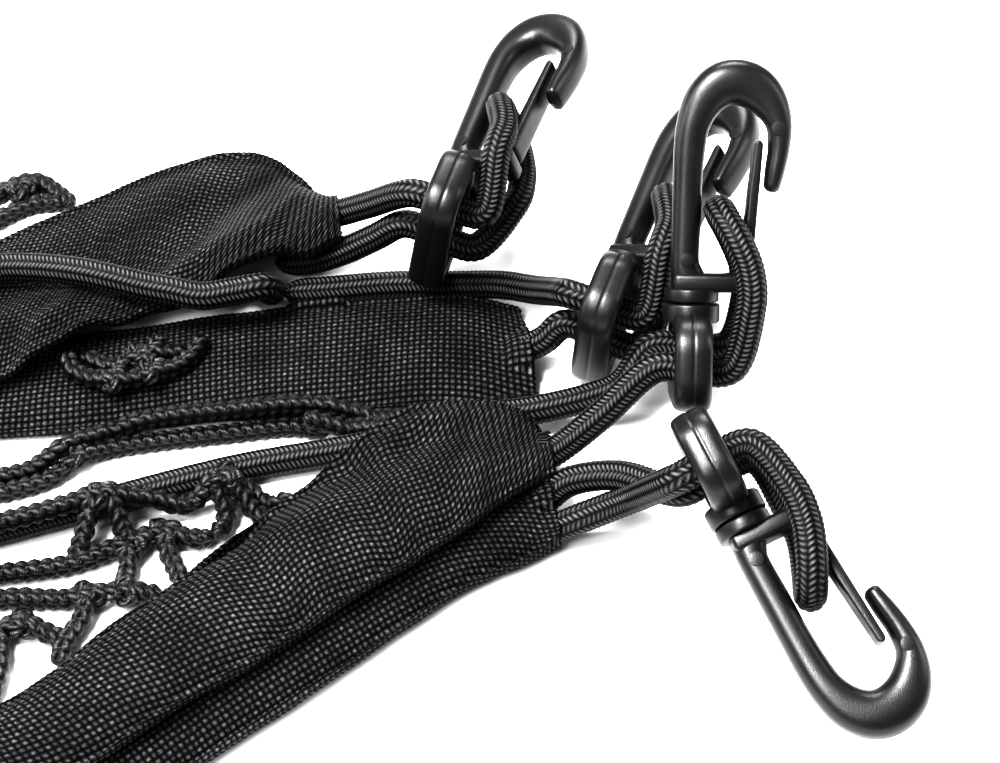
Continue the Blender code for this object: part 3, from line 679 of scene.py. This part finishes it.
FAR_LOWER = [
    # front edge x, y; back edge x, y, from the mouth to the fold
    (7, -5, 4, 17),
    (-9, -8, -9, 20),
    (-30, -9, -30, 18),
    (-50, -11, -52, 15),
    (-70, -13, -72, 11),
    (-94, -15, -94, 8),
    (-120, -17, -120, 6),
    (-150, -17, -150, 6),
    (-185, -15, -185, 8),
    (-210, -14, -210, 9),
]
FAR_UPPER = [
    (-31, 26, -33, 39),
    (-38, 23, -37, 46),
    (-46, 20, -43, 53),
    (-56, 14, -50, 58),
    (-66, 12, -60, 58),
    (-76, 6, -70, 54),
    (-86, -1, -80, 48),
    (-96, -7, -91, 41),
    (-116, -14, -113, 27),
    (-145, -16, -143, 14),
    (-180, -15, -180, 9),
    (-210, -14, -210, 9),
]
NEAR_LOWER = [
    (11, -41, 9, -31),
    (4, -45, -3, -31),
    (-8, -52, -20, -35),
    (-25, -66, -39, -48),
    (-45, -82, -60, -64),
    (-62, -95, -77, -77),
    (-90, -109, -98, -88),
    (-125, -116, -126, -92),
    (-165, -110, -160, -87),
    (-198, -96, -189, -74),
]
NEAR_UPPER = [
    (10, -30, 9, -22),
    (3, -35, 0, -16),
    (-6, -43, -15, -15),
    (-16, -51, -28, -25),
    (-29, -61, -42, -38),
    (-43, -72, -57, -53),
    (-57, -82, -71, -66),
    (-71, -93, -84, -79),
    (-95, -103, -102, -85),
    (-125, -110, -127, -88),
    (-164, -106, -160, -84),
    (-198, -96, -189, -74),
]
ACROSS = 9  # points from edge to edge
LEG_STEP = 9.0  # from one ring read from the solid to the next
PITCH = 1.16  # from one thread of the webbing to the next
ROUND = 112  # points round a sleeve
RIB = 0.1  # how far a thread's rib stands out
PUCKER = 0.6  # how far the creases stand out


def leg_rings(node, rows, upper):
    """Rings of points of one leg, with the heights that they have on the solid."""
    points = np.array([v.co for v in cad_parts[node].data.vertices])
    front = [Vector((r[0], r[1], 0)) for r in rows]
    back = [Vector((r[2], r[3], 0)) for r in rows]
    middle = [(f + b) / 2 for f, b in zip(front, back)]
    length = sum((q - p).length for p, q in zip(middle, middle[1:]))
    count = round(length / LEG_STEP)
    spans = len(rows) - 1
    rings = []
    for j in range(count + 1):
        at = spans * j / count
        k = min(int(at), spans - 1)
        pair = []
        for line in (front, back):
            near = [line[max(k - 1, 0)], line[k], line[k + 1], line[min(k + 2, spans)]]
            pair.append(between(*near, at - k) * MM + SHIFT)
        low, high = [], []
        for i in range(ACROSS):
            p = pair[0].lerp(pair[1], (1 - math.cos(math.pi * i / (ACROSS - 1))) / 2)
            near = np.hypot(points[:, 0] - p.x, points[:, 1] - p.y) < 0.05 * MM
            heights = sorted(set(np.round(points[near, 2], 6)))
            if len(heights) < 2:  # a flat underside has no points inside it
                heights = [0.0, *heights]
            two = heights[-2:] if upper else heights[:2]
            low.append((p.x, p.y, two[0]))
            high.append((p.x, p.y, two[1]))
        # both start at the back edge and come to the front on the leg's outer face
        rings.append(low[::-1] + high if upper else high[::-1] + low)
    return np.array(rings)


def fold_rings(lower, upper):
    """Rings round the fold that joins the far ends of two legs."""
    found = []
    pivot = (lower.mean(axis=0) + upper.mean(axis=0)) / 2
    edge = lower[0] - lower[ACROSS - 1]
    outward = np.array([-edge[1], edge[0], 0.0])
    outward /= np.linalg.norm(outward)
    if outward[0] > 0:
        outward = -outward
    for k in range(1, 4):
        share = k / 4
        angle = math.pi * share
        below = np.abs(lower[:, 2] - pivot[2]) * (1 - share)
        above = np.abs(upper[:, 2] - pivot[2]) * share
        radius = below + above
        ring = lower * (1 - share) + upper * share
        ring[:, 2] = pivot[2]
        ring += outward * (radius * math.sin(angle))[:, None]
        ring[:, 2] = np.maximum(ring[:, 2] - radius * math.cos(angle), 0.0)
        found.append(ring)
    return np.array(found)


def between_rows(grid, parts):
    """More rows on smooth curves through the rows of a grid."""
    ends = np.concatenate([[2 * grid[0] - grid[1]], grid, [2 * grid[-1] - grid[-2]]])
    return np.array([*all_between(ends, parts), grid[-1]])


def round_ring(ring):
    """A ring with its points evenly spread on a smooth closed curve, and its length round."""
    fine = all_between(np.concatenate([ring[-1:], ring, ring[:2]]), 8)
    fine = np.array([*fine, fine[0]])
    walked = walked_along(fine)
    at = np.linspace(0, walked[-1], ROUND + 1)
    return np.stack([np.interp(at, walked, fine[:, k]) for k in range(3)], axis=1)[:-1], walked[-1]


def webbing_rows(grid):
    """Rows two to a thread of the webbing, in view, and how far along each lies."""
    fine = between_rows(grid, 12)
    middles = fine.mean(axis=1)
    walked = walked_along(middles)
    at, here = [0.0], 0.0
    while here < walked[-1]:
        seen = np.interp(here, walked, middles[:, 0]) > BEYOND_VIEW
        here += PITCH / 2 * MM if seen else 2 * PITCH * MM
        at.append(min(here, walked[-1]))
    flat = fine.reshape(len(fine), -1)
    rows = np.stack([np.interp(at, walked, flat[:, k]) for k in range(flat.shape[1])], axis=1)
    return rows.reshape(len(at), -1, 3), np.array(at)


def puckered(points, normals, along):
    """Rows raised by the ribs of the weave and by shallow creases."""
    moved = points.copy()
    rib = -np.cos(2 * math.pi * along / (PITCH * MM)) * RIB * MM
    for row in range(len(points)):
        for k in range(ROUND):
            p = Vector(points[row, k])
            crease = noise.noise(p * 75) * 0.7 + noise.noise(p * 190) * 0.3
            moved[row, k] += normals[row, k] * (rib[row] + crease * PUCKER * MM)
    return moved


def room_for_cords(grid, normals):
    """Raises the cloth over the ends of the elastic that run into a sleeve."""
    tree = kdtree.KDTree(len(cord_ends))
    for k, (x, y, _) in enumerate(cord_ends):
        tree.insert((x, y, 0.0), k)
    tree.balance()
    for ring, ways in zip(grid, normals):
        for k in range(ROUND):
            _, nearest, aside = tree.find((ring[k, 0], ring[k, 1], 0.0))
            over = cord_ends[nearest][2] - aside**2 / (9 * MM)
            if ways[k, 2] > 0.1 and aside < 5 * MM:
                ring[k, 2] = max(ring[k, 2], over)


def mouth(rows, normals, inward, random):
    """The cut edge of a sleeve turned into its opening: rings from deep inside to the edge."""
    edge = rows[0]
    jagged = edge - inward * random.uniform(-0.3, 0.35, (ROUND, 1)) * MM
    inner = edge - normals[0] * 0.5 * MM
    middle = inner.mean(axis=0)
    deep = middle + (inner - middle) * 0.5 + inward * 5 * MM
    return np.array([deep, inner + inward * 0.4 * MM]), jagged


def sleeve(name, node, lower, upper, seed):
    """One folded sleeve of webbing, open at both of its mouths."""
    first, last = leg_rings(node, lower, False), leg_rings(node, upper, True)
    coarse = np.concatenate([first, fold_rings(first[-1], last[-1]), last[::-1]])
    rows, along = webbing_rows(coarse)
    rings, rounds = zip(*[round_ring(row) for row in rows])
    grid, rounds = np.array(rings), np.array(rounds)
    lengthwise = np.gradient(grid, axis=0)
    sideways = (np.roll(grid, -1, axis=1) - np.roll(grid, 1, axis=1)) / 2
    normals = np.cross(lengthwise, sideways)
    normals /= np.maximum(np.linalg.norm(normals, axis=2), 1e-12)[..., None]
    outward = grid - grid.mean(axis=1)[:, None]
    if (normals * outward).sum() < 0:
        normals = -normals
    grid = puckered(grid, normals, along)
    grid[..., 2] = np.maximum(grid[..., 2], 0.0)
    room_for_cords(grid, normals)
    random = np.random.default_rng(seed)
    ends = []
    for end, inner in ((0, 6), (-1, -7)):
        inward = grid[inner].mean(axis=0) - grid[end].mean(axis=0)
        inward /= np.linalg.norm(inward)
        lip, grid[end] = mouth(grid[[end]], normals[[end]], inward, random)
        ends.append(lip)
    whole = np.concatenate([ends[0], grid, ends[1][::-1]])
    along = np.concatenate([[along[0]] * 2, along, [along[-1]] * 2])
    rounds = np.concatenate([[rounds[0]] * 2, rounds, [rounds[-1]] * 2])
    share = np.arange(ROUND + 1) / ROUND
    across = rounds[:, None] * share[None]
    lengths = np.repeat(along[:, None], ROUND + 1, axis=1)
    obj = skin(name, whole, lengths, across, np.zeros(whole.shape[:2]))
    obj.data.materials.append(webbing)
    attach(obj, "net")
    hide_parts(node)
    return obj


def thread_wave(tree, value):
    """How high a thread's round top is across it, from its place in metres."""
    turn = calc(tree, "MULTIPLY", value, math.pi / (PITCH * MM))
    return calc(tree, "ABSOLUTE", calc(tree, "SINE", turn))


def thread_on_top(tree, across, along):
    """Height of the thread that shows in a cell, which falls a little to its two ends."""
    fall = calc(tree, "MULTIPLY_ADD", along, 0.55, 0.45)
    return calc(tree, "MULTIPLY", calc(tree, "POWER", across, 0.6), fall)


def cell_number(tree, value):
    """Which thread of the webbing a place lies on, counted from the map's origin."""
    return calc(tree, "FLOOR", calc(tree, "MULTIPLY", value, 1 / (PITCH * MM)))


weave, out = effect("plain weave")
position = mapped(weave)
split = weave.nodes.new("ShaderNodeSeparateXYZ")
weave.links.new(position, split.inputs["Vector"])
sway = calc(weave, "MULTIPLY_ADD", speckle(weave, position, 160.0), 0.3 * MM, -0.15 * MM)
lengthwise = split.outputs["X"]
crosswise = calc(weave, "ADD", split.outputs["Y"], sway)
weft, warp = thread_wave(weave, lengthwise), thread_wave(weave, crosswise)
cells = calc(weave, "ADD", cell_number(weave, lengthwise), cell_number(weave, crosswise))
odd = calc(weave, "FLOORED_MODULO", cells, 2.0)
even_cell = calc(weave, "SUBTRACT", 1.0, odd)
over = calc(weave, "MULTIPLY", thread_on_top(weave, warp, weft), even_cell)
under = calc(weave, "MULTIPLY", thread_on_top(weave, weft, warp), 0.82)
height = calc(weave, "ADD", over, calc(weave, "MULTIPLY", under, odd))
endwise = filaments(weave, position, 1200.0, 7000.0)
sidewise = filaments(weave, position, 7000.0, 1200.0)
threads = calc(weave, "MULTIPLY", sidewise, odd)
threads = calc(weave, "MULTIPLY_ADD", endwise, even_cell, threads)
# The thread on top in each cell is painted lighter by its height, a painted highlight that large
# patches make stronger or weaker, with painted shade in the gaps between threads.
painted_light_patches = speckle(weave, position, 90.0)
lit = calc(weave, "POWER", height, 2.8)
lit = calc(weave, "MULTIPLY", lit, calc(weave, "MULTIPLY_ADD", threads, 1.2, 0.1))
lit = calc(weave, "MULTIPLY", lit, calc(weave, "MULTIPLY_ADD", painted_light_patches, 1.8, 0.1), clamp=True)
tint = between_colours(weave, lit, PAINTED_SHADE_BETWEEN_YARNS, (0.17, 0.17, 0.173))
weave.links.new(tint, out.inputs[0])
rough = calc(weave, "MULTIPLY_ADD", height, -0.5, 0.8)
weave.links.new(calc(weave, "MULTIPLY_ADD", threads, 0.15, rough, clamp=True), out.inputs[1])
weave.links.new(calc(weave, "MULTIPLY_ADD", threads, 0.25, height), out.inputs[2])
webbing = finish_from("webbing", weave, 0.0008, 1.0, Specular_IOR_Level=0.16)

sleeve("far_sleeve", "sleeve_far", FAR_LOWER, FAR_UPPER, 3)
sleeve("near_sleeve", "sleeve_near", NEAR_LOWER, NEAR_UPPER, 5)


# ---------------------------------------------------------------- swivel rings
# One-piece rings moulded in black nylon, with a parting line round the band and a round boss
# that turns on the pin under the hook's collar. The elastic passes through the ring.

RING = {
    "long": 30.0,
    "short": 17.5,
    "corner": 6.5,
    "band": 6.8,
    "wall": 3.9,
    "top": -1.9,
    "boss_radius": 5.2,
}
PARTING = 0.2  # depth of the line where the mould closes

grain, out = effect("moulded grain")
place = grain.nodes.new("ShaderNodeTexCoord").outputs["Object"]
fine_grain = speckle(grain, place, 4200.0, 1.0)
worn = speckle(grain, place, 70.0, 3.0)
tint = between_colours(grain, worn, (0.006, 0.006, 0.0064), (0.014, 0.014, 0.0145))
grain.links.new(tint, out.inputs[0])
gloss = calc(grain, "MULTIPLY_ADD", worn, 0.2, 0.22)
grain.links.new(calc(grain, "MULTIPLY_ADD", fine_grain, 0.12, gloss), out.inputs[1])
grain.links.new(fine_grain, out.inputs[2])
nylon = finish_from("black_nylon", grain, 0.00005, 0.6, Specular_IOR_Level=0.5)


def rounded(half_u, half_v, power, count):
    """Points round a squarish oval with half sizes u and v."""
    found = []
    for k in range(count):
        angle = 2 * math.pi * (k + 0.5) / count
        c, s = math.cos(angle), math.sin(angle)
        u = half_u * math.copysign(abs(c) ** (2 / power), c)
        v = half_v * math.copysign(abs(s) ** (2 / power), s)
        found.append((u, v))
    return found


def swept(shape, rings, closed):
    """A body grown ring by ring along a row of places, capped at its ends or joined round."""
    made = bmesh.ops.create_circle(shape, cap_ends=False, segments=len(rings[0]), radius=1.0)
    here = made["verts"]
    edges = list({e for v in here for e in v.link_edges})
    first = edges
    for v, p in zip(here, rings[0]):
        v.co = p
    for ring in rings[1:]:
        grown = bmesh.ops.extrude_edge_only(shape, edges=edges)["geom"]
        fresh = {g for g in grown if isinstance(g, bmesh.types.BMVert)}
        after = []
        for v in here:
            after.append(next(e.other_vert(v) for e in v.link_edges if e.other_vert(v) in fresh))
        for v, p in zip(after, ring):
            v.co = p
        edges = [g for g in grown if isinstance(g, bmesh.types.BMEdge) and set(g.verts) <= fresh]
        here = after
    if closed:
        bmesh.ops.bridge_loops(shape, edges=first + edges)
    else:
        bmesh.ops.edgeloop_fill(shape, edges=first)
        bmesh.ops.edgeloop_fill(shape, edges=edges)


def ease(shape, edges, width):
    """Rounds some edges of a bmesh."""
    bmesh.ops.bevel(
        shape, geom=edges, offset=width * MM, affect="EDGES", segments=3, profile=0.5, material=-1
    )


def disc(shape, radius, low, high, matrix, bevel, sides=48):
    """A cylinder round the local Y axis, from low to high, with its rims eased."""
    made = bmesh.ops.create_cone(
        shape, cap_ends=True, segments=sides, radius1=radius * MM, radius2=radius * MM,
        depth=(high - low) * MM,
    )
    turn = Matrix.Rotation(math.pi / 2, 4, "X")
    centre = Matrix.Translation((0, (low + high) / 2 * MM, 0))
    bmesh.ops.transform(shape, matrix=matrix @ centre @ turn, verts=made["verts"])
    faces = {f for v in made["verts"] for f in v.link_faces}
    ease(shape, list({e for f in faces if len(f.verts) > 4 for e in f.edges}), bevel)


def ring_path(parts):
    """Middle line of the ring in its own plane, going round, with points on its corners."""
    half_long = (RING["long"] - RING["wall"]) / 2
    half_short = (RING["short"] - RING["wall"]) / 2
    corner = RING["corner"] - RING["wall"] / 2
    found = []
    for quarter, (sy, sz) in enumerate(((1, 1), (-1, 1), (-1, -1), (1, -1))):
        centre = Vector((sy * (half_short - corner), sz * (half_long - corner)))
        for k in range(parts):
            angle = -math.pi / 2 * (quarter + k / (parts - 1))
            found.append(centre + Vector((math.cos(angle), -math.sin(angle))) * corner)
    return found


def swivel_ring(name, place):
    """The ring and its boss in one piece."""
    shape = bmesh.new()
    middle_y = RING["top"] - RING["short"] / 2
    path = ring_path(12)
    rings = []
    for k, p in enumerate(path):
        ahead = (path[(k + 1) % len(path)] - path[k - 1]).normalized()
        out = Vector((ahead.y, -ahead.x))
        ring = []
        for i in range(72):
            turn = 2 * math.pi * i / 72
            v = RING["band"] / 2 * math.sin(turn)
            u = RING["wall"] / 2 * (1 - abs(math.sin(turn)) ** 3.2) ** (1 / 3.2)
            u = u - PARTING * math.exp(-((v / 0.2) ** 2)) if math.cos(turn) > 0 else -u
            ring.append(Vector((v, p.x + out.x * u + middle_y, p.y + out.y * u)) * MM)
        rings.append(ring)
    swept(shape, rings, True)
    disc(shape, RING["boss_radius"], RING["top"] - RING["wall"] / 2, -0.3, Matrix.Identity(4), 0.5)
    bmesh.ops.transform(shape, matrix=place, verts=shape.verts)
    obj = mesh_object(name, shape)
    obj.data.materials.append(nylon)
    return obj


for number, pose in HOOKS.items():
    place = hook_frame(number) @ Matrix.Rotation(math.radians(pose["ring"]), 4, "Y")
    ring = swivel_ring(f"snap_{number}_ring", place)
    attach(ring, "net")
    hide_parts(f"hook_{number}_ring")


# ---------------------------------------------------------------- snap hook bodies
# Black nylon, moulded in one piece: a stout spine that swells over the crown and tapers down the
# nose, on a base bar with a round collar. Round pads show where the mould's pins push it out.

HOOK_LINE = [
    # x, y, half width in the hook's plane, half thickness
    (-0.3, 3.6, 3.1, 3.0),
    (-1.0, 5.6, 2.8, 3.0),
    (-1.3, 8.0, 2.55, 3.0),
    (-1.2, 15.0, 2.65, 3.1),
    (-1.1, 22.0, 2.7, 3.2),
    (-0.85, 28.0, 2.9, 3.4),
    (-0.2, 32.5, 3.1, 3.6),
    (1.6, 36.6, 3.7, 3.7),
    (4.4, 39.2, 4.1, 3.8),
    (7.7, 39.8, 4.2, 3.8),
    (11.0, 38.6, 4.0, 3.7),
    (13.6, 35.9, 3.3, 3.6),
    (15.2, 32.3, 2.4, 3.5),
    (15.3, 28.0, 2.0, 3.3),
    (14.7, 24.0, 1.8, 3.2),
    (14.2, 21.0, 1.5, 2.9),
]
PINS = [(14.9, 31.6, 3.4), (-1.0, 7.6, 2.95)]  # x, y and height of the surface
BASE_BAR = ((-3.4, 1.8, -3.3), (11.4, 5.2, 3.3))  # opposite corners of the bar
GATE_SEAT = ((8.9, 4.6, -2.5), (10.7, 5.62, 2.5))  # the same of the step under the gate
COLLAR = {"radius": 5.0, "height": 2.4}


def block(shape, low, high, bevel):
    """A box between two corners with its edges eased."""
    made = bmesh.ops.create_cube(shape, size=1.0)
    low, high = Vector(low) * MM, Vector(high) * MM
    place = Matrix.Translation((low + high) / 2) @ Matrix.Diagonal((*(high - low), 1.0))
    bmesh.ops.transform(shape, matrix=place, verts=made["verts"])
    ease(shape, list({e for v in made["verts"] for e in v.link_edges}), bevel)


def hook_body(name, place):
    """Spine, crown and nose on the base bar and collar."""
    shape = bmesh.new()
    rows = smooth([Vector((x, y, 0)) for x, y, _, _ in HOOK_LINE], 6) * MM
    sizes = smooth([Vector((half, thick, 0)) for _, _, half, thick in HOOK_LINE], 6) * MM
    ahead = np.gradient(rows, axis=0)
    rings = []
    for p, (half, thick, _), way in zip(rows, sizes, ahead):
        way = Vector(way).normalized()
        side = Vector((way.y, -way.x, 0))
        oval = rounded(half, thick, 2.5, 32)
        rings.append([Vector(p) + side * u + Vector((0, 0, v)) for u, v in oval])
    tip = Vector(ahead[-1]).normalized()
    for k in (1, 2, 3):
        turn = math.pi / 2 * k / 3.3
        middle = Vector(rows[-1])
        grow = tip * math.sin(turn) * 1.0 * MM
        rings.append([middle + (p - middle) * math.cos(turn) + grow for p in rings[len(rows) - 1]])
    swept(shape, rings, False)
    block(shape, *BASE_BAR, 0.9)
    block(shape, *GATE_SEAT, 0.3)
    disc(shape, COLLAR["radius"], 0.0, COLLAR["height"], Matrix.Identity(4), 0.35)
    facing = Matrix.Rotation(math.pi / 2, 4, "X")
    for x, y, z in PINS:
        for side in (1, -1):
            pad = Matrix.Translation(Vector((x, y, side * z)) * MM) @ facing
            disc(shape, 1.3, -0.12, 0.12, pad, 0.05, 32)
    bmesh.ops.transform(shape, matrix=place, verts=shape.verts)
    obj = mesh_object(name, shape)
    obj.data.materials.append(nylon)
    return obj


for number in HOOKS:
    body = hook_body(f"snap_{number}_body", hook_frame(number))
    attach(body, "net")
    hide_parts(f"hook_{number}_body")


# ---------------------------------------------------------------- gates
# A thin flat tongue of the same nylon that springs against the inside of the nose. It bends at
# its root, so it swings about the root's middle.

GATE = {"hinge": (9.8, 6.9), "tip": (11.5, 28.6), "root": 1.25, "end": 0.85, "width": 5.4}
GATE_RINGS = 24  # from the hinge to the tip
CAP_RINGS = 6  # that round off each end


def hook_gate(name, place):
    """The tapering tongue with its edges eased."""
    shape = bmesh.new()
    foot, tip = Vector(GATE["hinge"]), Vector(GATE["tip"])
    ahead = (tip - foot).normalized()
    side = Vector((-ahead.y, ahead.x))
    half = GATE["width"] / 2
    rings = []
    for k in range(-CAP_RINGS, GATE_RINGS + CAP_RINGS + 1):
        if k < 0:
            turn = math.pi / 2 * -k / (CAP_RINGS + 0.5)
            middle = foot - ahead * GATE["root"] * math.sin(turn)
            radius = math.cos(turn) * GATE["root"]
        elif k > GATE_RINGS:
            turn = math.pi / 2 * (k - GATE_RINGS) / (CAP_RINGS + 0.5)
            middle = tip + ahead * GATE["end"] * math.sin(turn)
            radius = math.cos(turn) * GATE["end"]
        else:
            middle = foot.lerp(tip, k / GATE_RINGS)
            radius = GATE["root"] + (GATE["end"] - GATE["root"]) * k / GATE_RINGS
        ring = []
        for u, v in rounded(radius, half, 5.0, 32):
            p = middle + side * u
            ring.append(Vector((p.x, p.y, v)) * MM)
        rings.append(ring)
    swept(shape, rings, False)
    bmesh.ops.transform(shape, matrix=place, verts=shape.verts)
    obj = mesh_object(name, shape)
    obj.data.materials.append(nylon)
    return obj


for number in HOOKS:
    gate = hook_gate(f"snap_{number}_gate", hook_frame(number))
    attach(gate, f"gate_{number}")
    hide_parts(f"hook_{number}_gate")
